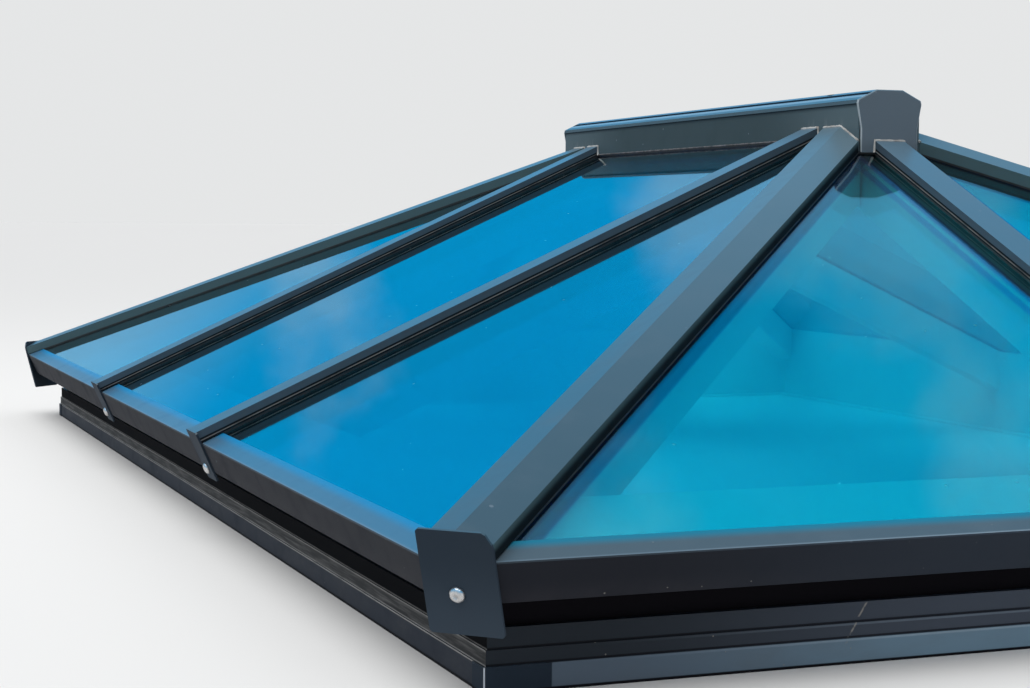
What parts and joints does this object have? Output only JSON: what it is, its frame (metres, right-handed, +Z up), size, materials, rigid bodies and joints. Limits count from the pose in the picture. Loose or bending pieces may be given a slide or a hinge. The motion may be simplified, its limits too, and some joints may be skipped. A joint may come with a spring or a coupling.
{
  "type": "roof skylight",
  "caption": "Hipped roof skylight: sealed glass units on an aluminium frame with ridge, hips, glazing bars, eaves trims and a hollow eaves beam that seats on a flat roof's kerb.",
  "frame": {"origin": "middle of the underside, at the level where the eaves beams seat on the kerb", "axes": "+Z up, +Y along the ridge and the long sides, +X across; the front is the short end at -Y"},
  "size_m": [2.0708, 3.0208, 0.6522],
  "materials": {
    "outer_coat": "satin slate-grey powder coat",
    "inner_coat": "satin white powder coat",
    "glass": "clear reflective float glass",
    "rubber": "matt black",
    "spacer": "matt black",
    "steel": "bright",
    "cast": "mill"
  },
  "bodies": {
    "root": {"bar_cap_back": "outer_coat", "bar_cap_front": "outer_coat", "bar_cap_left_back": "outer_coat", "bar_cap_left_front": "outer_coat", "bar_cap_right_back": "outer_coat", "bar_cap_right_front": "outer_coat", "bar_end_plates": "outer_coat", "corner_blocks": "cast", "corner_cleats": "cast", "corner_covers": "outer_coat", "corner_plates": "outer_coat", "eaves_beam_back": "outer_coat", "eaves_beam_front": "outer_coat", "eaves_beam_left": "outer_coat", "eaves_beam_right": "outer_coat", "eaves_trim_back_left": "outer_coat", "eaves_trim_back_right": "outer_coat", "eaves_trim_front_left": "outer_coat", "eaves_trim_front_right": "outer_coat", "eaves_trim_left_back": "outer_coat", "eaves_trim_left_front": "outer_coat", "eaves_trim_left_middle": "outer_coat", "eaves_trim_right_back": "outer_coat", "eaves_trim_right_front": "outer_coat", "eaves_trim_right_middle": "outer_coat", "glass_back_left": "glass", "glass_back_right": "glass", "glass_front_left": "glass", "glass_front_right": "glass", "glass_left_back": "glass", "glass_left_front": "glass", "glass_left_middle": "glass", "glass_right_back": "glass", "glass_right_front": "glass", "glass_right_middle": "glass", "glazing_bar_back": "inner_coat", "glazing_bar_front": "inner_coat", "glazing_bar_left_back": "inner_coat", "glazing_bar_left_front": "inner_coat", "glazing_bar_right_back": "inner_coat", "glazing_bar_right_front": "inner_coat", "hip_cap_back_left": "outer_coat", "hip_cap_back_right": "outer_coat", "hip_cap_front_left": "outer_coat", "hip_cap_front_right": "outer_coat", "hip_rafter_back_left": "inner_coat", "hip_rafter_back_right": "inner_coat", "hip_rafter_front_left": "inner_coat", "hip_rafter_front_right": "inner_coat", "inner_gaskets": "rubber", "kerb_seal": "rubber", "outer_gaskets": "rubber", "plate_screws": "steel", "ridge_beam": "inner_coat", "ridge_cap": "outer_coat", "ridge_end_back": "outer_coat", "ridge_end_front": "outer_coat", "ridge_housing": "outer_coat", "unit_spacers": "spacer"}
  },
  "joints": []
}
